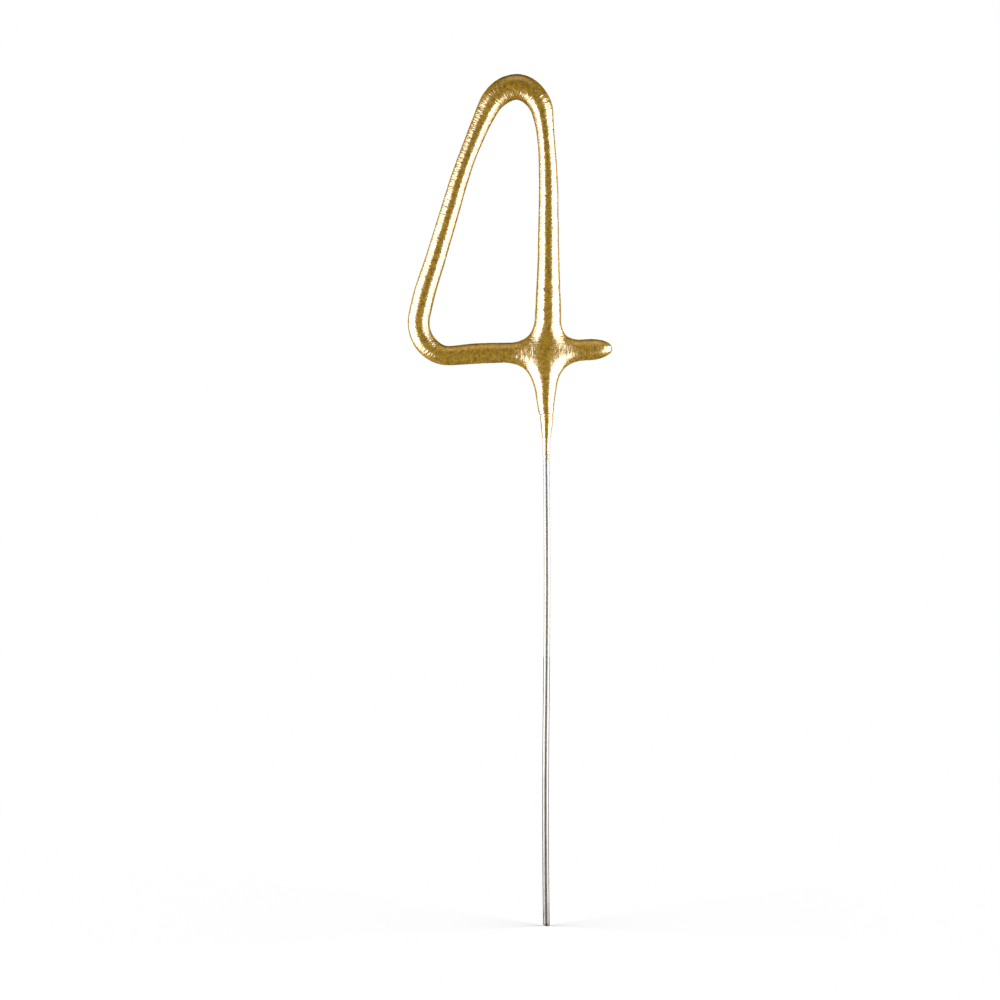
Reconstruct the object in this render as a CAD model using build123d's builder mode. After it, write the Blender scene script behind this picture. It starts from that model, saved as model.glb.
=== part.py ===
from build123d import *
import os
from math import acos, ceil, cos, radians, sin

import numpy as np

os.makedirs("parts", exist_ok=True)

# A hand sparkler in the shape of the figure 4, standing on the cut end of its stem.
# X runs to the reader's right, Z up the stem, and the reader looks along +Y. Millimetres.

# Wire
wire_diameter = 1.3
stem_length = 97.4          # straight bare stem, up to the knee
end_shear_angle = 13.4      # slant of the cut end, degrees
knee_lean = 0.6             # the leg leans this far to the right of the stem, degrees
knee_radius = 150.0
neck_run = 3.2              # from the knee to the lower end of the sparkler mix
crossing_gap = 0.1          # between the leg's wire and the crossbar's, which passes behind
wire_bend_sag = 0.2         # the bends are followed in straight runs that stray by this at most

# Bends of the figure: where the straight strokes would meet, (right, up) from the top of the stem
leg_run = 52.4              # from the top of the mix's taper to the shoulder
crown_corner = (-3.2, 93.5)
hip_corner = (-17.5, 61.7)
heel_corner = (-29.1, 21.6)
bar_end = (12.0, 23.2)
shoulder_radius = 100.0
crown_radius = 5.8
hip_radius = 110.0
heel_radius = 6.5

# Sparkler mix: the first dip
mix_thickness = 0.6
mix_taper_length = 4.1      # the lower end tapers towards the wire
mix_taper_edge = 0.1        # what is left of the mix at the taper's lower edge

# Gold coat: the second dip, measured over the mix
coat_start = 0.6            # along the wire, above the mix's taper
start_thickness = 0.2
crossing_thickness = 1.45
waist_thickness = 0.55      # where it ran thin, at the shoulder and the hip
crown_thickness = 1.5
heel_thickness = 1.0
bar_thickness = 0.85
nose_thickness = 0.4        # at the rounded end of the crossbar
nose_run = 2.0              # the crossbar narrows over this length towards its end
coat_bend_sag = 0.08        # as the wire's, but finer
upper_web_radius = 2.6      # the slurry fills the corners of the crossing with these roundings
lower_web_radius = 5.0
web_turns = (0, 35, 70)     # where a web's rounding is followed, degrees from the leg
film_thickness = 0.1        # the run-down film on the taper and on the bare wire
film_run = 4.6              # down the wire, below the mix

# Worked out from these
wire_radius = wire_diameter / 2
mix_radius = wire_radius + mix_thickness
bar_radius = mix_radius + bar_thickness
nose_radius = mix_radius + nose_thickness
bar_back = wire_diameter + crossing_gap


# Routes: the lower wire in one line, and the figure's strokes in another

def above_stem(corner, back):
    """A corner of the figure as right, up and, against the reader, back."""
    return (corner[0], stem_length + corner[1], -back)


hip_back = bar_back * (crown_corner[1] - hip_corner[1]) / (crown_corner[1] - heel_corner[1])

with BuildLine(Plane.XZ) as lower_wire:
    stem = Line((0, 0), (0, stem_length))
    knee = JernArc(stem @ 1, stem % 1, knee_radius, -knee_lean)
    neck = Line(knee @ 1, knee @ 1 + (knee % 1) * neck_run)
    taper = Line(neck @ 1, neck @ 1 + (neck % 1) * mix_taper_length)

with BuildLine(Plane.XZ):
    figure = FilletPolyline(
        taper @ 1,
        taper @ 1 + (taper % 1) * leg_run,
        above_stem(crown_corner, 0),
        above_stem(hip_corner, hip_back),
        above_stem(heel_corner, bar_back),
        above_stem(bar_end, bar_back),
        radius=[shoulder_radius, crown_radius, hip_radius, heel_radius],
    )

# The strokes in order, straight and bent by turns, and how far along the figure each one starts
strokes = figure.edges()
leg, shoulder, temple, crown, brow, hip, diagonal, heel, bar = strokes
stroke_starts = np.cumsum([0] + [stroke.length for stroke in strokes])


def square_to(line, place):
    """The plane square to a line, this far along it, with X across the figure."""
    point = line.position_at(place, position_mode=PositionMode.LENGTH)
    along = line.tangent_at(place, position_mode=PositionMode.LENGTH)
    return Plane(point, x_dir=along.cross(Vector(0, 1, 0)), z_dir=along)


def round_section(line, place, radius):
    """A round face square to a line, this far along it."""
    with BuildSketch(square_to(line, place)) as section:
        Circle(radius)
    return section.sketch.face()


def places_on(stroke, bend_sag):
    """Places along a stroke: its ends, and round a bend as many more as keep to the sag."""
    runs = 1
    if stroke.geom_type == GeomType.CIRCLE:
        turn_of_run = 2 * acos(1 - bend_sag / stroke.radius)
        runs = ceil(stroke.length / stroke.radius / turn_of_run)
    return np.linspace(0, stroke.length, runs + 1)


# Core wire: a round wire on both lines, with its lower end sheared

with BuildPart() as core_wire:
    with BuildSketch(Plane.XY):
        Circle(wire_radius)
    sweep(path=lower_wire.line)
    for stroke in strokes:
        places = places_on(stroke, wire_bend_sag)
        loft([round_section(stroke, place, wire_radius) for place in places], ruled=True)
    shear_normal = (sin(radians(end_shear_angle)), 0, cos(radians(end_shear_angle)))
    split(bisect_by=Plane((wire_radius, 0, 0), z_dir=shear_normal), keep=Keep.TOP)


# Sparkler mix: an even tube on the whole figure, tapered at its lower end and closed round the wire's tip

with BuildPart() as mix_form:
    loft([round_section(taper, 0, wire_radius + mix_taper_edge), round_section(leg, 0, mix_radius)])
    for stroke in strokes:
        places = places_on(stroke, wire_bend_sag)
        loft([round_section(stroke, place, mix_radius) for place in places], ruled=True)
    with Locations(bar @ 1):
        Sphere(mix_radius)

with BuildPart() as sparkler_mix:
    add(mix_form.part)
    add(core_wire.part, mode=Mode.SUBTRACT)


# Gold coat: it thins and swells along the wire, fills the corners of the crossing and ends in a nose

def middle_of(bend):
    """How far along the figure a bend's middle is."""
    return stroke_starts[strokes.index(bend)] + bend.length / 2


crossing_place = (bar.intersect(Plane.YZ)[0].Z - (leg @ 0).Z) / (leg % 0).Z
coat_profile = {
    coat_start: start_thickness,
    crossing_place: crossing_thickness,
    middle_of(shoulder): waist_thickness,
    middle_of(crown): crown_thickness,
    middle_of(hip): waist_thickness,
    middle_of(heel): heel_thickness,
    stroke_starts[-2]: bar_thickness,
}


def coat_radius(place):
    """The coat's outer radius, this far along the figure."""
    return mix_radius + np.interp(place, list(coat_profile), list(coat_profile.values()))


def coat_section(stroke, place, web_width=0):
    """A face square to a stroke, as thick as the coat there: round, or oval where a web widens it."""
    radius = coat_radius(stroke_starts[strokes.index(stroke)] + place)
    if web_width == 0:
        return round_section(stroke, place, radius)
    with BuildSketch(square_to(stroke, place)) as section:
        Ellipse(radius + web_width, radius)
    return section.sketch.face()


def web_sections(side, web_radius):
    """The leg's sections where a web widens it, from the plain leg to the crossbar's edge."""
    bar_edge = crossing_place + side * bar_radius
    rounding = [(1 - sin(radians(turn)), 1 - cos(radians(turn))) for turn in web_turns]
    return [coat_section(leg, bar_edge + side * web_radius * up, web_radius * out) for up, out in rounding]


lower_web = web_sections(-1, lower_web_radius)
upper_web = web_sections(1, upper_web_radius)[::-1]
nose_start = bar.length - nose_run

with BuildPart() as gold_coat:
    leg_ends = [coat_section(leg, coat_start), coat_section(leg, leg.length)]
    loft(leg_ends[:1] + lower_web + upper_web + leg_ends[1:], ruled=True)
    for stroke in strokes[1:-1]:
        loft([coat_section(stroke, place) for place in places_on(stroke, coat_bend_sag)], ruled=True)
    loft([coat_section(bar, 0), coat_section(bar, nose_start)])
    loft([round_section(bar, nose_start, bar_radius), round_section(bar, bar.length, nose_radius)])
    with Locations(bar @ 1):
        Sphere(nose_radius)

    # The film: on the wire below the mix, round the mix's lower edge, on its taper and up to the coat
    taper_edge_radius = wire_radius + mix_taper_edge + film_thickness
    film_radius = mix_radius + film_thickness
    extrude(round_section(taper, 0, wire_radius + film_thickness), amount=-film_run)
    extrude(round_section(taper, 0, taper_edge_radius), amount=-film_thickness)
    loft([round_section(taper, 0, taper_edge_radius), round_section(leg, 0, film_radius)])
    extrude(round_section(leg, 0, film_radius), amount=coat_start)

    add(mix_form.part, mode=Mode.SUBTRACT)
    add(core_wire.part, mode=Mode.SUBTRACT)


core_wire.part.label = "core_wire"
export_step(core_wire.part, "parts/core_wire.step")
sparkler_mix.part.label = "sparkler_mix"
export_step(sparkler_mix.part, "parts/sparkler_mix.step")
gold_coat.part.label = "gold_coat"
export_step(gold_coat.part, "parts/gold_coat.step")
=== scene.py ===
import bpy
import numpy as np
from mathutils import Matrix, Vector


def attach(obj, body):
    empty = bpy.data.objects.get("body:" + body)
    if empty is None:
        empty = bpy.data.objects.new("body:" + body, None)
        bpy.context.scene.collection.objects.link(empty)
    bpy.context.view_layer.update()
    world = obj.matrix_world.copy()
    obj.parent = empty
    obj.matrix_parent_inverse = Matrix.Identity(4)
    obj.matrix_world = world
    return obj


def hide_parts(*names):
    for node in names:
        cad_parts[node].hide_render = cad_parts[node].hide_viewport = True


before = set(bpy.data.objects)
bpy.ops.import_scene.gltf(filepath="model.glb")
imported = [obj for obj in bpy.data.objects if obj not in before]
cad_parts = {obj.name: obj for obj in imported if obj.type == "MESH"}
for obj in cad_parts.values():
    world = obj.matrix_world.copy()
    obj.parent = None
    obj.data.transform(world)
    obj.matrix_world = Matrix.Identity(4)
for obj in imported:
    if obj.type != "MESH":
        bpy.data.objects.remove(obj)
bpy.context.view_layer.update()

mm = 0.001

# Core wire
# One length of drawn mild steel: a straight stem, then the whole figure 4 in one stroke, bent over pegs.
# Its lower end was sheared off aslant with side cutters. From the neck up it is hidden in the two dips.

wire_radius = 0.65 * mm
wire_step = 0.25 * mm
wire_sides = 40
stem_bow = 0.16 * mm            # the stem was straightened by hand and still snakes by this much
stem_bow_length = 97.0 * mm
shear_slope = 0.24              # rise of the sheared end across the wire
shear_reach = 1.5 * mm          # the rings above the cut lean with it over this height
die_mark = 0.0015 * mm          # depth of the fine lines that the drawing die left

# Corners where the route's straight runs would meet, as right, back and up, and the rounding of each bend
wire_foot = (0.0, 0.0, 0.0)
bends = [
    ((0.0 * mm, 0.0 * mm, 98.2 * mm), 150.0 * mm),        # knee
    ((0.6 * mm, 0.0 * mm, 158.7 * mm), 100.0 * mm),       # shoulder
    ((-3.2 * mm, 0.0 * mm, 190.5 * mm), 5.8 * mm),        # crown
    ((-17.5 * mm, 0.6 * mm, 159.1 * mm), 110.0 * mm),     # hip
    ((-29.1 * mm, 1.4 * mm, 119.0 * mm), 6.5 * mm),       # heel
]
wire_tip = (12.0 * mm, 1.4 * mm, 120.6 * mm)
arc_points = 40


def unit(vectors):
    """Vectors scaled to length one along their last axis."""
    return vectors / np.linalg.norm(vectors, axis=-1, keepdims=True)


def rounded_route(start, corners, end, step):
    """Points at even steps along straight runs whose corners are arcs, and how far along each point is.

    An arc of radius R that turns by a begins R tan(a/2) before its corner, heading along u. Its points are
    begin + R (sin t u + (1 - cos t) w) for t from 0 to a, where w is square to u on the side of the turn.
    """
    stops = np.array([start] + [corner for corner, _ in corners] + [end])
    runs = [stops[:1]]
    for (corner, rounding), before, after in zip(corners, stops[:-2], stops[2:]):
        heading = unit(np.array(corner) - before)
        leaving = unit(after - np.array(corner))
        turn = np.arccos(heading @ leaving)
        sideways = unit(leaving - (leaving @ heading) * heading)
        t = np.linspace(0, turn, arc_points)[:, None]
        begin = np.array(corner) - rounding * np.tan(turn / 2) * heading
        runs.append(begin + rounding * (np.sin(t) * heading + (1 - np.cos(t)) * sideways))
    points = np.vstack(runs + [stops[-1:]])
    length = np.append(0, np.cumsum(np.linalg.norm(np.diff(points, axis=0), axis=1)))
    along = np.linspace(0, length[-1], round(length[-1] / step) + 1)
    return along, np.stack([np.interp(along, length, axis) for axis in points.T], axis=1)


def across_route(route):
    """The way across a route at each point, in the plane of the figure and towards the figure's window."""
    return unit(np.cross(np.gradient(route, axis=0), (0, 1, 0)))


def tube(route, radii, sides):
    """Rings round a route, with a fan at each end: a point is centre + r (cos a across + sin a depth).

    across and depth are square to the route, across lying in the plane of the figure. radii holds one
    radius for each ring, or one for each point of each ring.
    """
    across = across_route(route)
    depth = unit(np.cross(np.gradient(route, axis=0), across))
    angle = np.linspace(0, 2 * np.pi, sides, endpoint=False)[:, None]
    outward = np.cos(angle) * across[:, None] + np.sin(angle) * depth[:, None]
    rings = route[:, None] + radii.reshape(len(route), -1, 1) * outward
    points = np.vstack([rings.reshape(-1, 3), rings[0].mean(axis=0), rings[-1].mean(axis=0)])

    here = np.arange(sides)
    there = np.roll(here, -1)
    ring = np.arange(len(route) - 1)[:, None] * sides
    wall = np.stack([ring + here, ring + there, ring + sides + there, ring + sides + here], axis=-1)
    last = (len(route) - 1) * sides
    first_fan = np.stack([there, here, np.full(sides, len(points) - 2)], axis=1)
    last_fan = np.stack([last + here, last + there, np.full(sides, len(points) - 1)], axis=1)
    return points, wall.reshape(-1, 4).tolist() + first_fan.tolist() + last_fan.tolist()


def new_piece(name, points, faces, material):
    """A smooth-shaded mesh object with one material, at the origin."""
    mesh = bpy.data.meshes.new(name)
    mesh.from_pydata(points, [], faces)
    mesh.polygons.foreach_set("use_smooth", np.ones(len(mesh.polygons), bool))
    mesh.materials.append(material)
    piece = bpy.data.objects.new(name, mesh)
    bpy.context.collection.objects.link(piece)
    return piece


def new_material(name):
    """A new material, its nodes, its links and its shader."""
    material = bpy.data.materials.new(name)
    material.use_nodes = True
    nodes = material.node_tree.nodes
    return material, nodes, material.node_tree.links, nodes["Principled BSDF"]


fleck_rim = 0.25                # a fleck fades in from here, as a share of its cell
fleck_heart = 0.12              # and is full here


def speckle_group():
    """Node group: Shade is slow mottling and Grit fine grain, from 0 to 1, and Fleck is a mask of flecks."""
    group = bpy.data.node_groups.new("speckle", "ShaderNodeTree")
    for name, kind in (("Place", "NodeSocketVector"), ("Mottle", "NodeSocketFloat"),
                       ("Grain", "NodeSocketFloat"), ("Flecks", "NodeSocketFloat")):
        group.interface.new_socket(name, in_out="INPUT", socket_type=kind)
    for name in ("Shade", "Grit", "Fleck"):
        group.interface.new_socket(name, in_out="OUTPUT", socket_type="NodeSocketFloat")
    nodes, links = group.nodes, group.links
    given = nodes.new("NodeGroupInput")
    made = nodes.new("NodeGroupOutput")

    mottle = nodes.new("ShaderNodeTexNoise")
    mottle.inputs["Detail"].default_value = 3.0
    links.new(given.outputs["Place"], mottle.inputs["Vector"])
    links.new(given.outputs["Mottle"], mottle.inputs["Scale"])
    links.new(mottle.outputs["Fac"], made.inputs["Shade"])

    grain = nodes.new("ShaderNodeTexNoise")
    grain.inputs["Detail"].default_value = 2.0
    grain.inputs["Roughness"].default_value = 0.6
    links.new(given.outputs["Place"], grain.inputs["Vector"])
    links.new(given.outputs["Grain"], grain.inputs["Scale"])
    links.new(grain.outputs["Fac"], made.inputs["Grit"])

    cells = nodes.new("ShaderNodeTexVoronoi")
    links.new(given.outputs["Place"], cells.inputs["Vector"])
    links.new(given.outputs["Flecks"], cells.inputs["Scale"])
    fleck = nodes.new("ShaderNodeMapRange")
    fleck.inputs["From Min"].default_value = fleck_rim
    fleck.inputs["From Max"].default_value = fleck_heart
    links.new(cells.outputs["Distance"], fleck.inputs["Value"])
    links.new(fleck.outputs["Result"], made.inputs["Fleck"])
    return group


speckle = speckle_group()


def add_speckle(nodes, links, mottle, grain, flecks):
    """The speckle group on Object coordinates, with its sizes as counts to the metre."""
    place = nodes.new("ShaderNodeTexCoord")
    node = nodes.new("ShaderNodeGroup")
    node.node_tree = speckle
    for name, value in (("Mottle", mottle), ("Grain", grain), ("Flecks", flecks)):
        node.inputs[name].default_value = value
    links.new(place.outputs["Object"], node.inputs["Place"])
    return node


def blended(nodes, links, share, first, second):
    """A colour between two, by a share from 0 to 1. Either is a plain colour or another node's output."""
    mix = nodes.new("ShaderNodeMix")
    mix.data_type = "RGBA"
    links.new(share, mix.inputs["Factor"])
    for socket, colour in ((mix.inputs[6], first), (mix.inputs[7], second)):
        if isinstance(colour, tuple):
            socket.default_value = (*colour, 1.0)
        else:
            links.new(colour, socket)
    return mix.outputs[2]


def ranged(nodes, links, value, low, high, start=0.0, end=1.0):
    """A value carried from the range start to end over to the range low to high."""
    node = nodes.new("ShaderNodeMapRange")
    for name, number in (("From Min", start), ("From Max", end), ("To Min", low), ("To Max", high)):
        node.inputs[name].default_value = number
    links.new(value, node.inputs["Value"])
    return node.outputs["Result"]


def add_bump(nodes, links, height, shader, distance, strength):
    """Fine relief on the shader's normal from a height from 0 to 1."""
    bump = nodes.new("ShaderNodeBump")
    bump.inputs["Distance"].default_value = distance
    bump.inputs["Strength"].default_value = strength
    links.new(height, bump.inputs["Height"])
    links.new(bump.outputs["Normal"], shader.inputs["Normal"])


steel_bright = (0.33, 0.326, 0.322)
steel_dull = (0.22, 0.213, 0.203)
steel_warm = (0.30, 0.255, 0.175)   # a faint bronze wash in places
# a darker steel tone, laid in patches towards the cut end of the stem
steel_darkened = (0.15, 0.14, 0.13)
steel_rusty = (0.20, 0.11, 0.03)
steel_roughness = (0.43, 0.52)
darkening_height = 4.5 * mm         # the steel is darker in patches over this lowest stretch, up from the cut end
rust_height = 0.5 * mm          # rust on the burr of the cut
die_lines_per_metre = (5000, 5000, 110)     # fine across the wire, long along it
die_line_relief = 0.005 * mm


def drawn_steel():
    """Drawn steel: long die lines, a bronze wash, darker patches near the cut end and rust on its burr."""
    material, nodes, links, shader = new_material("drawn_steel")
    speck = add_speckle(nodes, links, mottle=800, grain=2600, flecks=500)
    place = nodes.new("ShaderNodeTexCoord")
    stretch = nodes.new("ShaderNodeMapping")
    stretch.inputs["Scale"].default_value = die_lines_per_metre
    lines = nodes.new("ShaderNodeTexNoise")
    lines.inputs["Scale"].default_value = 1.0
    links.new(place.outputs["Object"], stretch.inputs["Vector"])
    links.new(stretch.outputs["Vector"], lines.inputs["Vector"])
    height = nodes.new("ShaderNodeSeparateXYZ")
    links.new(place.outputs["Object"], height.inputs["Vector"])

    def near_the_cut(reach, rough):
        """A patchy share that is full at the cut end and gone at this height."""
        near = ranged(nodes, links, height.outputs["Z"], 1.0, 0.0, 0.0, reach)
        patch = nodes.new("ShaderNodeMath")
        patch.operation = "MULTIPLY"
        links.new(near, patch.inputs[0])
        links.new(ranged(nodes, links, rough, 0.0, 1.0, 0.4, 0.6), patch.inputs[1])
        return patch.outputs["Value"]

    worn = ranged(nodes, links, lines.outputs["Fac"], 0.0, 0.7, 0.35, 0.75)
    washed = ranged(nodes, links, speck.outputs["Grit"], 0.0, 0.6, 0.4, 0.7)
    tone = blended(nodes, links, worn, steel_bright, steel_dull)
    tone = blended(nodes, links, washed, tone, steel_warm)
    # darker in patches over the lowest stretch of the stem, fading out upwards
    darkened = near_the_cut(darkening_height, speck.outputs["Shade"])
    rusty = near_the_cut(rust_height, speck.outputs["Grit"])
    tone = blended(nodes, links, darkened, tone, steel_darkened)
    tone = blended(nodes, links, rusty, tone, steel_rusty)
    links.new(tone, shader.inputs["Base Color"])
    links.new(ranged(nodes, links, lines.outputs["Fac"], *steel_roughness), shader.inputs["Roughness"])
    shader.inputs["Metallic"].default_value = 1.0
    add_bump(nodes, links, lines.outputs["Fac"], shader, distance=die_line_relief, strength=0.15)
    return material


wire_along, wire_route = rounded_route(wire_foot, bends, wire_tip, wire_step)
bowed = wire_along < stem_bow_length
wire_route[bowed, 0] -= stem_bow * np.sin(2 * np.pi * wire_along[bowed] / stem_bow_length)
die_lines = np.random.default_rng(4).uniform(-1, 1, wire_sides)
wire_radii = np.tile(wire_radius + die_mark * die_lines, (len(wire_route), 1))
wire_points, wire_faces = tube(wire_route, wire_radii, wire_sides)
lean = np.clip(1 - wire_points[:, 2] / shear_reach, 0, 1)
wire_points[:, 2] += lean * shear_slope * (wire_radius - wire_points[:, 0])
wire = new_piece("steel_wire", wire_points, wire_faces, drawn_steel())
wire.data.set_sharp_from_angle(angle=np.radians(40))
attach(wire, "root")
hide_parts("core_wire")

# Sparkler mix
# The first dip: iron and aluminium filings with a nitrate in a starch binder, dried hard and grey.
# The gold dip covers all of it, so it keeps the shape of its solid.

mix_dark = (0.055, 0.052, 0.05)
mix_pale = (0.2, 0.19, 0.18)
mix_filings = (0.5, 0.49, 0.47)
mix_roughness = (0.6, 0.95)
mix_relief = 0.1 * mm


def gritty_mix():
    """Dull grey dried slurry with bright filings in it."""
    material, nodes, links, shader = new_material("gritty_mix")
    speck = add_speckle(nodes, links, mottle=700, grain=3500, flecks=2500)
    tone = blended(nodes, links, speck.outputs["Shade"], mix_dark, mix_pale)
    tone = blended(nodes, links, speck.outputs["Fleck"], tone, mix_filings)
    links.new(tone, shader.inputs["Base Color"])
    links.new(speck.outputs["Fleck"], shader.inputs["Metallic"])
    links.new(ranged(nodes, links, speck.outputs["Grit"], *mix_roughness), shader.inputs["Roughness"])
    add_bump(nodes, links, speck.outputs["Grit"], shader, distance=mix_relief, strength=0.8)
    return material


mix_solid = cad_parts["sparkler_mix"]
mix_solid.data.materials.clear()
mix_solid.data.materials.append(gritty_mix())

# Gold coat
# The second dip: a gold lacquer thick with metal powder. It ran thin at the shoulder and the hip,
# swelled at the crown and filled the corners of the crossing with webs. A fine grain runs round the strokes.

coat_start = 106.9 * mm
crown_middle = 177.6 * mm       # along the wire; the leg is before it and the slanting stroke after it
heel_middle = 240.0 * mm
coat_step = 0.12 * mm
coat_sides = 48
coat_mesh_size = 0.18 * mm
settling_rounds = 3             # the rough mesh is drawn on to the coat's surface this many times
coat_stations = [               # place along the wire, the coat's radius, and its lean towards the window
    (106.9 * mm, 1.50 * mm, 0.10 * mm),
    (110.3 * mm, 1.95 * mm, 0.27 * mm),
    (113.5 * mm, 2.36 * mm, 0.25 * mm),
    (120.0 * mm, 2.66 * mm, 0.00 * mm),
    (128.0 * mm, 2.70 * mm, -0.08 * mm),
    (136.0 * mm, 2.38 * mm, -0.08 * mm),
    (148.0 * mm, 2.10 * mm, 0.02 * mm),
    (158.0 * mm, 1.93 * mm, 0.06 * mm),
    (163.0 * mm, 1.84 * mm, -0.02 * mm),
    (167.0 * mm, 1.94 * mm, -0.06 * mm),
    (173.0 * mm, 2.50 * mm, 0.05 * mm),
    (178.0 * mm, 2.70 * mm, -0.32 * mm),
    (182.0 * mm, 2.58 * mm, 0.06 * mm),
    (187.0 * mm, 2.16 * mm, -0.14 * mm),
    (194.0 * mm, 1.86 * mm, -0.04 * mm),
    (206.0 * mm, 1.96 * mm, 0.10 * mm),
    (218.0 * mm, 2.11 * mm, 0.00 * mm),
    (228.0 * mm, 2.28 * mm, -0.18 * mm),
    (234.0 * mm, 2.27 * mm, 0.14 * mm),
    (238.0 * mm, 2.22 * mm, 0.12 * mm),
    (243.0 * mm, 2.04 * mm, -0.12 * mm),
    (249.0 * mm, 2.14 * mm, 0.12 * mm),
    (258.0 * mm, 2.06 * mm, 0.04 * mm),
    (272.0 * mm, 2.22 * mm, 0.00 * mm),
    (277.0 * mm, 2.24 * mm, 0.06 * mm),
    (281.0 * mm, 2.24 * mm, 0.10 * mm),
]
leg_hub = 120.2 * mm            # where the strokes cross, along the wire: on the leg and on the crossbar
bar_hub = 264.2 * mm
hub_reach = 7.0 * mm
leg_sink = 0.8 * mm             # there the leg's coat sinks back towards the crossbar by this much
bar_rise = 0.7 * mm             # and the crossbar's comes forward by this
nose_length = 4.02 * mm         # the last stretch of the route, along which the end draws in
nose_reach = 4.49 * mm          # where the drawing-in would close to a point
nose_tip = (12.9 * mm, 1.4 * mm, 120.65 * mm)
nose_front = 0.5                # the nose's front draws in by this much less than its outline

web_lower_left = 7.3 * mm
web_lower_right = 5.7 * mm
web_upper_left = 5.4 * mm
web_upper_right = 4.4 * mm
web_ease = 2.0 * mm             # the webs change into each other over this distance from the middle
web_depth = 3.2 * mm            # and fade to the front and the back over this
web_fade = 9.0 * mm             # no web further than twice this from the crossing


def smooth_through(places, stations):
    """Smooth curves through stations of place and values: cubics with a parabola's slope at each one."""
    at, value = stations[:, 0], stations[:, 1:]
    slope = np.gradient(value, at, axis=0)
    i = np.clip(np.searchsorted(at, places) - 1, 0, len(at) - 2)
    gap = (at[i + 1] - at[i])[:, None]
    t = np.clip((places - at[i])[:, None] / gap, 0, 1)
    start = value[i] * (1 + 2 * t) + slope[i] * gap * t
    end = value[i + 1] * (3 - 2 * t) + slope[i + 1] * gap * (t - 1)
    return start * (1 - t) ** 2 + end * t ** 2


def eased(value, low, high):
    """0 below low, 1 above high, and an S-shaped rise between them."""
    t = np.clip((value - low) / (high - low), 0, 1)
    return t * t * (3 - 2 * t)


lattice_size = 64               # the noise repeats after this many cells


def lattice_noise(places, seed):
    """Smooth values from -1 to 1: random numbers on a cubic lattice of step one, eased in its cells."""
    size = lattice_size
    lattice = np.random.default_rng(seed).uniform(-1, 1, (size, size, size))
    cell = np.floor(places).astype(int)
    t = places - cell
    t = t * t * (3 - 2 * t)
    total = np.zeros(len(places))
    for corner in np.ndindex(2, 2, 2):
        share = np.prod(np.where(corner, t, 1 - t), axis=1)
        total += share * lattice[tuple(((cell + corner) % size).T)]
    return total


search_stride = 16              # the nearest place is sought in steps of this many points, then singly


def nearest_ball(points, route, radii):
    """Which ball of a row lies nearest to each point, so that distance less radius is least.

    One ball in so many is tried first, by |p - c|^2 = p.p - 2 p.c + c.c, and then the best one's neighbours.
    """
    tried = np.arange(0, len(route), search_stride)
    centres = route[tried]
    square = np.sum(points ** 2, axis=1)[:, None] - 2 * points @ centres.T + np.sum(centres ** 2, axis=1)
    rough = tried[np.argmin(np.sqrt(np.maximum(square, 0)) - radii[tried], axis=1)]
    near = rough[:, None] + np.arange(-search_stride, search_stride + 1)
    near = np.clip(near, 0, len(route) - 1)
    gap = np.linalg.norm(points[:, None] - route[near], axis=2) - radii[near]
    return np.take_along_axis(near, np.argmin(gap, axis=1)[:, None], axis=1)[:, 0]


coat_along, coat_route = rounded_route(wire_foot, bends, nose_tip, coat_step)
coat_route[:, 1] += leg_sink * np.exp(-((coat_along - leg_hub) / hub_reach) ** 2)
coat_route[:, 1] -= bar_rise * np.exp(-((coat_along - bar_hub) / hub_reach) ** 2)
coat_radii, coat_lean = smooth_through(coat_along, np.array(coat_stations)).T
coat_route += coat_lean[:, None] * across_route(coat_route)
drawn_in = np.clip(coat_along - (coat_along[-1] - nose_length), 0, None) / nose_reach
nose_narrowing = np.sqrt(1 - drawn_in ** 2)
coat_radii *= nose_narrowing
on_leg = (coat_along > coat_start) & (coat_along <= crown_middle)
on_bar = coat_along > crown_middle
past_heel = coat_along > heel_middle
crossing = coat_route[past_heel][np.argmin(np.abs(coat_route[past_heel, 0]))]


def from_tube(points, stroke):
    """How far points lie outside one stroke's tube, the way out there, and their place on the stroke.

    The tube is the hull of a ball of changing radius that rolls along the route. From the nearest ball the
    place moves along the route by the offset that makes distance less radius stand still. A place is along
    the stroke, across it in the plane of the figure, and back.
    """
    route, radii, along = coat_route[stroke], coat_radii[stroke], coat_along[stroke]
    heading = unit(np.gradient(route, axis=0))
    growth = np.gradient(radii, along)
    nearest = nearest_ball(points, route, radii)
    ahead = heading[nearest]
    gap = points - route[nearest]
    offset = np.sum(gap * ahead, axis=1) + growth[nearest] * np.linalg.norm(gap, axis=1)
    offset = np.clip(offset, -coat_step, coat_step)
    gap -= offset[:, None] * ahead
    reach = np.linalg.norm(gap, axis=1)
    outside = reach - radii[nearest] - growth[nearest] * offset
    across = np.sum(gap * unit(np.cross(ahead, (0, 1, 0))), axis=1)
    place = np.column_stack([along[nearest] + offset, across, gap[:, 1]])
    return outside, gap / reach[:, None], place


def web_size(points):
    """How wide the web is that blends the strokes at each point: each corner has a size of its own."""
    right, back, up = (points - crossing).T
    to_right = eased(right, -web_ease, web_ease)
    to_top = eased(up, -web_ease, web_ease)
    lower = web_lower_left + (web_lower_right - web_lower_left) * to_right
    upper = web_upper_left + (web_upper_right - web_upper_left) * to_right
    near = np.clip(2 - np.hypot(right, up) / web_fade, 0, 1)
    flat = np.exp(-0.5 * ((back + crossing[1] / 2) / web_depth) ** 2)
    return (lower + (upper - lower) * to_top) * near * flat + 1e-6


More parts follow.
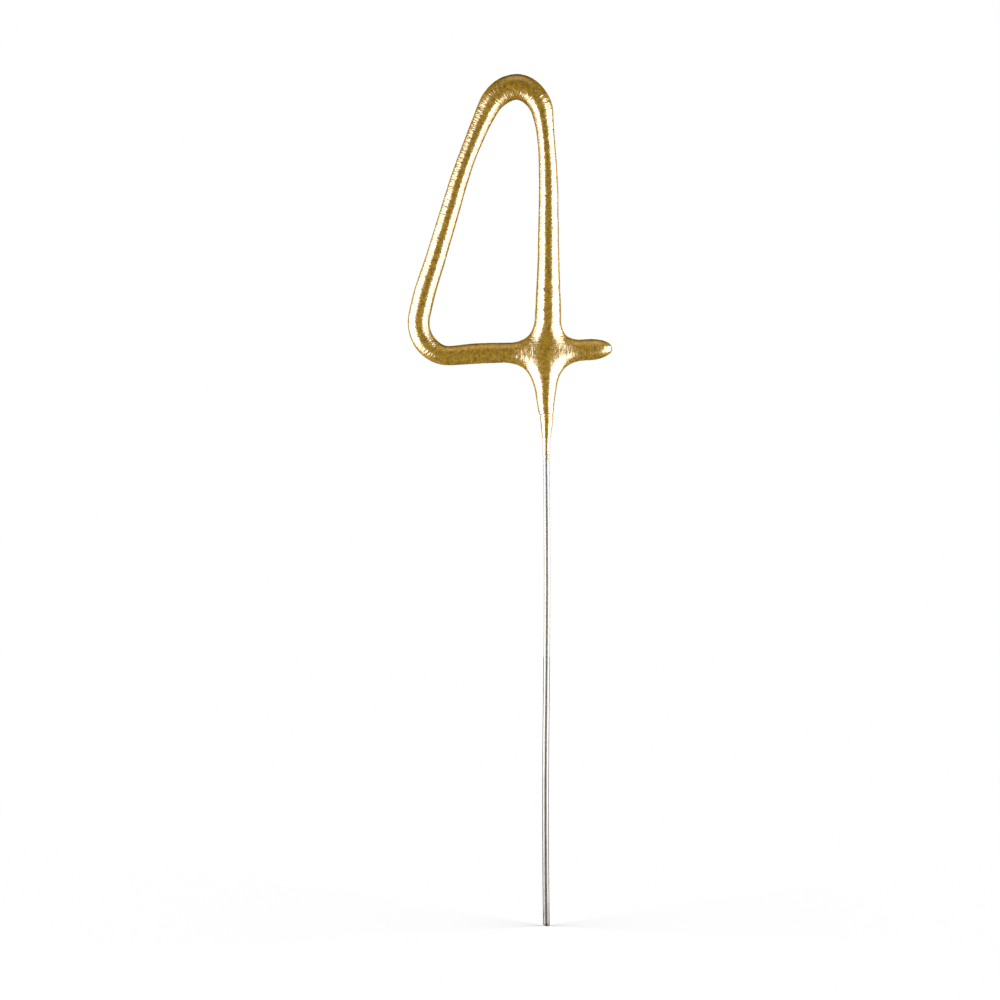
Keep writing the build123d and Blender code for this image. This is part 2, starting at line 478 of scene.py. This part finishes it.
def from_coat(points):
    """How far points lie outside the coat, the way out, the leg's share, and the places on both strokes.

    The leg's and the bar's tubes are blended: where the two distances a and b differ by less than the web
    w, the share of the first is s = 1/2 + (b - a) / 2w, and the blend is s a + (1 - s) b - w s (1 - s).
    """
    leg_out, leg_way, leg_place = from_tube(points, on_leg)
    bar_out, bar_way, bar_place = from_tube(points, on_bar)
    web = web_size(points)
    share = np.clip(0.5 + (bar_out - leg_out) / (2 * web), 0, 1)
    outside = share * leg_out + (1 - share) * bar_out - web * share * (1 - share)
    way = unit(share[:, None] * leg_way + (1 - share)[:, None] * bar_way)
    return outside, way, share, leg_place, bar_place


lump_height = 0.04 * mm
lump_size = 2.6 * mm
grain_height = 0.02 * mm
grain_along = 0.36 * mm         # the grain is longer round the strokes than along them
grain_round = 0.60 * mm
pimple_height = 0.006 * mm
pimple_size = 0.30 * mm
speck_height = 0.05 * mm        # single specks of grit under the lacquer
speck_size = 0.55 * mm
speck_rarity = 0.66             # noise above this stands out as a speck


def stroke_grain(place):
    """Grain on one stroke: noise of its place, drawn out round the stroke."""
    return lattice_noise(place / (grain_along, grain_round, grain_round), seed=12)


def coat_relief(points, share, leg_place, bar_place):
    """The coat's own relief: slow lumps, both strokes' grain by their shares, pimples and a few specks."""
    lumps = lattice_noise(points / lump_size, seed=11)
    grain = share * stroke_grain(leg_place) + (1 - share) * stroke_grain(bar_place)
    pimples = lattice_noise(points / pimple_size, seed=13)
    specks = eased(lattice_noise(points / speck_size, seed=14), speck_rarity, 1.0)
    return lump_height * lumps + grain_height * grain + pimple_height * pimples + speck_height * specks


def remeshed(points, faces, size):
    """The outer skin of a mesh that crosses itself, as an even mesh: points in an array, faces in a list."""
    rough = new_piece("rough_coat", points, faces, bpy.data.materials.new("rough_coat"))
    skin = rough.modifiers.new("skin", "REMESH")
    skin.mode = "VOXEL"
    skin.voxel_size = size
    evaluated = rough.evaluated_get(bpy.context.evaluated_depsgraph_get())
    mesh = bpy.data.meshes.new_from_object(evaluated)
    vertices = np.empty(len(mesh.vertices) * 3)
    mesh.vertices.foreach_get("co", vertices)
    corners = [tuple(face.vertices) for face in mesh.polygons]
    bpy.data.objects.remove(rough)
    bpy.data.meshes.remove(mesh)
    return vertices.reshape(-1, 3), corners


def keep_places(piece, share, leg_place, bar_place):
    """Stores with each vertex, for the material, its places on leg and bar, and the leg's share."""
    for name, kind, field, values in (("leg_place", "FLOAT_VECTOR", "vector", leg_place),
                                      ("bar_place", "FLOAT_VECTOR", "vector", bar_place),
                                      ("leg_share", "FLOAT", "value", share)):
        kept = piece.data.attributes.new(name, kind, "POINT")
        kept.data.foreach_set(field, values.ravel())


hatch_pitch = 0.30 * mm         # the fine ridges of the dried lacquer are this wide
hatch_length = 1.4 * mm
hatch_height = 0.085 * mm
crossbar_hatch = 0.5            # the share of that on the crossbar
heel_run = 6.0 * mm             # it changes over this length from the heel's middle


def hatch_group():
    """Node group: Hatch, ridges from 0 to 1 that run round the strokes, weaker along the crossbar.

    Leg and Bar are places on the two strokes, and Share is the leg's share.
    """
    group = bpy.data.node_groups.new("hatch", "ShaderNodeTree")
    for name, kind in (("Leg", "NodeSocketVector"), ("Bar", "NodeSocketVector"),
                       ("Share", "NodeSocketFloat")):
        group.interface.new_socket(name, in_out="INPUT", socket_type=kind)
    group.interface.new_socket("Hatch", in_out="OUTPUT", socket_type="NodeSocketFloat")
    nodes, links = group.nodes, group.links
    given = nodes.new("NodeGroupInput")
    made = nodes.new("NodeGroupOutput")

    def ridges(place):
        """Noise of a place on a stroke, drawn out round the stroke."""
        stretch = nodes.new("ShaderNodeMapping")
        stretch.inputs["Scale"].default_value = (1 / hatch_pitch, 1 / hatch_length, 1 / hatch_length)
        noise = nodes.new("ShaderNodeTexNoise")
        noise.inputs["Scale"].default_value = 1.0
        noise.inputs["Detail"].default_value = 1.0
        links.new(place, stretch.inputs["Vector"])
        links.new(stretch.outputs["Vector"], noise.inputs["Vector"])
        return noise.outputs["Fac"]

    bar_way = nodes.new("ShaderNodeSeparateXYZ")
    links.new(given.outputs["Bar"], bar_way.inputs["Vector"])
    bar_strength = ranged(nodes, links, bar_way.outputs["X"], 1.0, crossbar_hatch,
                          heel_middle, heel_middle + heel_run)
    bar_ridges = nodes.new("ShaderNodeMath")
    bar_ridges.operation = "MULTIPLY"
    links.new(ridges(given.outputs["Bar"]), bar_ridges.inputs[0])
    links.new(bar_strength, bar_ridges.inputs[1])
    either = nodes.new("ShaderNodeMix")
    links.new(given.outputs["Share"], either.inputs[0])
    links.new(bar_ridges.outputs["Value"], either.inputs[2])
    links.new(ridges(given.outputs["Leg"]), either.inputs[3])
    links.new(either.outputs[0], made.inputs["Hatch"])
    return group


gold_deep = (0.22, 0.115, 0.001)
gold_pale = (0.50, 0.293, 0.005)
gold_flake = (0.80, 0.56, 0.12)
gold_roughness = (0.20, 0.31)
gold_metal = (0.2, 0.45)        # how far it shines like metal
gold_ior = 3.5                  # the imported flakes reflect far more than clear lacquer


def gold_lacquer():
    """Lacquer full of bronze powder: mottled deep and pale gold with bright flakes, ridged and glossy."""
    material, nodes, links, shader = new_material("gold_lacquer")
    speck = add_speckle(nodes, links, mottle=1500, grain=4200, flecks=2600)
    hatch = nodes.new("ShaderNodeGroup")
    hatch.node_tree = hatch_group()
    for name, socket, field in (("leg_place", "Leg", "Vector"), ("bar_place", "Bar", "Vector"),
                                ("leg_share", "Share", "Fac")):
        kept = nodes.new("ShaderNodeAttribute")
        kept.attribute_name = name
        links.new(kept.outputs[field], hatch.inputs[socket])
    mottle = ranged(nodes, links, speck.outputs["Shade"], 0.0, 1.0, 0.3, 0.7)
    flake = ranged(nodes, links, speck.outputs["Fleck"], 0.0, 0.5)
    tone = blended(nodes, links, mottle, gold_deep, gold_pale)
    tone = blended(nodes, links, flake, tone, gold_flake)
    links.new(tone, shader.inputs["Base Color"])
    links.new(ranged(nodes, links, speck.outputs["Grit"], *gold_roughness), shader.inputs["Roughness"])
    links.new(ranged(nodes, links, speck.outputs["Grit"], *gold_metal), shader.inputs["Metallic"])
    shader.inputs["IOR"].default_value = gold_ior
    add_bump(nodes, links, hatch.outputs["Hatch"], shader, distance=hatch_height, strength=1.0)
    return material


gold = gold_lacquer()
coated = on_leg | on_bar
rough_points, rough_faces = tube(coat_route[coated], coat_radii[coated], coat_sides)
coat_points, coat_faces = remeshed(rough_points, rough_faces, coat_mesh_size)
above_ring = coat_points[:, 2] > coat_start + coat_mesh_size
for _ in range(settling_rounds):
    outside, way, *_ = from_coat(coat_points)
    coat_points[above_ring] -= (outside[:, None] * way)[above_ring]
outside, way, share, leg_place, bar_place = from_coat(coat_points)
in_front = np.clip(nose_tip[1] - coat_points[:, 1], 0, None)
fuller = np.interp(bar_place[:, 0], coat_along, 1 / nose_narrowing - 1)
coat_points[:, 1] -= nose_front * in_front * fuller
coat_points += coat_relief(coat_points, share, leg_place, bar_place)[:, None] * way
coat = new_piece("gold_coat_skin", coat_points, coat_faces, gold)
keep_places(coat, share, leg_place, bar_place)
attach(coat, "root")
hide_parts("gold_coat")

# Run-down film
# Gold lacquer that ran down from the dip over the mix's taper and a little way down the bare wire,
# where it dried with a ragged edge. It is a sleeve that goes up into the coat.

film_top = 108.2 * mm
film_edge = 98.0 * mm           # where the film ends on the wire, give or take the rag
film_rag = 1.3 * mm
film_bottom = 95.6 * mm
film_step = 0.05 * mm
film_sides = 64
film_thickness = 0.1 * mm
film_hidden = 0.05 * mm         # where there is no film, the sleeve lies this far inside the wire
film_fleck_size = 0.35 * mm
film_roughness = 0.006 * mm
film_profile = [                # height, and the film's outer radius there
    (film_bottom, wire_radius + film_thickness),
    (101.95 * mm, wire_radius + film_thickness),
    (102.05 * mm, 0.82 * mm),
    (102.25 * mm, 0.89 * mm),
    (104.0 * mm, 1.13 * mm),
    (106.35 * mm, 1.40 * mm),
    (106.6 * mm, 1.29 * mm),    # it drew in under the coat's lower edge
    (film_top, 1.29 * mm),
]
film_along, film_route = rounded_route(wire_foot, bends, nose_tip, film_step)
on_film = (film_along > film_bottom) & (film_along < film_top)
film_along, film_route = film_along[on_film], film_route[on_film]
film_angle = np.linspace(0, 2 * np.pi, film_sides, endpoint=False)
film_grid = np.stack([
    np.tile(np.cos(film_angle) * wire_radius / film_fleck_size, (len(film_along), 1)),
    np.tile(np.sin(film_angle) * wire_radius / film_fleck_size, (len(film_along), 1)),
    np.tile(film_along[:, None] / film_fleck_size, (1, film_sides)),
], axis=-1).reshape(-1, 3)
film_noise = lattice_noise(film_grid, seed=21).reshape(len(film_along), film_sides)
film_there = eased((film_along[:, None] - film_edge) / film_rag + film_noise, -0.15, 0.15)
film_heights, film_radii = np.array(film_profile).T
film_full = np.interp(film_along, film_heights, film_radii)[:, None] + film_roughness * film_noise
film_bare = wire_radius - film_hidden
film_points, film_faces = tube(film_route, film_bare + (film_full - film_bare) * film_there, film_sides)
film = new_piece("run_down_film", film_points, film_faces, gold)
film_place = film_points[:, (2, 0, 1)]
keep_places(film, np.ones(len(film_points)), film_place, film_place)
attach(film, "root")
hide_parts("gold_coat")

# Floor
# A plain pale table top under the cut end of the stem, narrow enough to stand between the light panels.
# The camera sees only the object's shadow on it.

floor_half_width = 0.15
floor_half_depth = 1.0
floor_pale = (0.5, 0.5, 0.5)
floor_material, _, _, floor_shader = new_material("pale_floor")
floor_shader.inputs["Base Color"].default_value = (*floor_pale, 1.0)
floor_shader.inputs["Roughness"].default_value = 0.9
floor_quarters = ((-1, -1), (1, -1), (1, 1), (-1, 1))
floor_corners = [(x * floor_half_width, y * floor_half_depth, 0) for x, y in floor_quarters]
floor = new_piece("floor", floor_corners, [(0, 1, 2, 3)], floor_material)
floor.is_shadow_catcher = True
floor.visible_glossy = False

# Light
# Two soft panels hang beside the table, a little in front of the figure and down past the table top, in a
# dim cream room with a paler patch of ceiling. The background is white paper.

panel_middle = -8 * mm          # the panels stand evenly about this place across the figure
panel_distance = 0.17
panel_bearing = 77              # degrees from the camera's side
panel_spread = 35               # half of the angle that a panel fills, in degrees
panel_top = 0.226
panel_foot = -0.025
panel_radiance = 4.8
room_light = (0.034, 0.029, 0.019)
ground_light = (0.06, 0.05, 0.035)
ceiling_light = (0.80, 0.63, 0.33)
ceiling_lean = 10               # degrees that the patch lies forward of straight overhead
ceiling_edge = (0.8, 0.95)      # how near to the patch's middle its light begins, and is full, as cosines
ground_edge = (-0.3, -0.7)      # how far down the ground's light begins, and is full
paper_band = 0.965              # in the gloss the paper begins this far away from the camera


def aimed(thing, place, target):
    """Puts a lamp or a camera at a place, turned to look at a target."""
    holder = bpy.data.objects.new(thing.name, thing)
    holder.location = place
    holder.rotation_euler = Vector(target - place).to_track_quat("-Z", "Y").to_euler()
    bpy.context.collection.objects.link(holder)
    return holder


for side, name in ((-1, "left_panel"), (1, "right_panel")):
    panel = bpy.data.lights.new(name, "AREA")
    panel.shape = "RECTANGLE"
    panel.size = 2 * panel_distance * np.tan(np.radians(panel_spread))
    panel.size_y = panel_top - panel_foot
    panel.energy = 4 * panel_radiance * panel.size * panel.size_y
    bearing = np.radians(panel_bearing)
    target = np.array([panel_middle, 0, (panel_top + panel_foot) / 2])
    place = target + panel_distance * np.array([side * np.sin(bearing), -np.cos(bearing), 0])
    aimed(panel, place, target).visible_camera = False

world = bpy.data.worlds.new("studio")
world.use_nodes = True
bpy.context.scene.world = world
nodes, links = world.node_tree.nodes, world.node_tree.links
room = nodes["Background"]
paper = nodes.new("ShaderNodeBackground")
paper.inputs["Color"].default_value = (1, 1, 1, 1)
paper.inputs["Strength"].default_value = 1.0
way_of_ray = nodes.new("ShaderNodeTexCoord")
split_way = nodes.new("ShaderNodeSeparateXYZ")
links.new(way_of_ray.outputs["Generated"], split_way.inputs["Vector"])
overhead = nodes.new("ShaderNodeVectorMath")
overhead.operation = "DOT_PRODUCT"
lean_angle = np.radians(ceiling_lean)
overhead.inputs[1].default_value = (0, -np.sin(lean_angle), np.cos(lean_angle))
links.new(way_of_ray.outputs["Generated"], overhead.inputs[0])
upwards = ranged(nodes, links, overhead.outputs["Value"], 0.0, 1.0, *ceiling_edge)
downwards = ranged(nodes, links, split_way.outputs["Z"], 0.0, 1.0, *ground_edge)
walls = blended(nodes, links, downwards, room_light, ground_light)
links.new(blended(nodes, links, upwards, walls, ceiling_light), room.inputs["Color"])
behind = ranged(nodes, links, split_way.outputs["Y"], 0.0, 1.0, paper_band, 1.0)
ray = nodes.new("ShaderNodeLightPath")
shown_in_metal = nodes.new("ShaderNodeMath")
shown_in_metal.operation = "MULTIPLY"
links.new(ray.outputs["Is Glossy Ray"], shown_in_metal.inputs[0])
links.new(behind, shown_in_metal.inputs[1])
seen = nodes.new("ShaderNodeMath")
seen.operation = "MAXIMUM"
links.new(ray.outputs["Is Camera Ray"], seen.inputs[0])
links.new(ray.outputs["Is Transmission Ray"], seen.inputs[1])
shows_paper = nodes.new("ShaderNodeMath")
shows_paper.operation = "MAXIMUM"
links.new(seen.outputs["Value"], shows_paper.inputs[0])
links.new(shown_in_metal.outputs["Value"], shows_paper.inputs[1])
either = nodes.new("ShaderNodeMixShader")
links.new(shows_paper.outputs["Value"], either.inputs["Fac"])
links.new(room.outputs["Background"], either.inputs[1])
links.new(paper.outputs["Background"], either.inputs[2])
links.new(either.outputs["Shader"], nodes["World Output"].inputs["Surface"])

# Camera
# Straight on to the flat of the figure, with a long lens, and a frame as wide as the photograph's.
# It stands back as far as that frame needs.

frame_width = 209.04 * mm
lens = 100.0
camera = bpy.data.cameras.new("camera")
camera.lens = lens
frame_middle = np.array([-9.68 * mm, 0.0, 89.0 * mm])
camera_place = frame_middle - np.array([0, frame_width * lens / camera.sensor_width, 0])
bpy.context.scene.camera = aimed(camera, camera_place, frame_middle)
bpy.context.scene.view_settings.view_transform = "Standard"

bpy.context.view_layer.update()
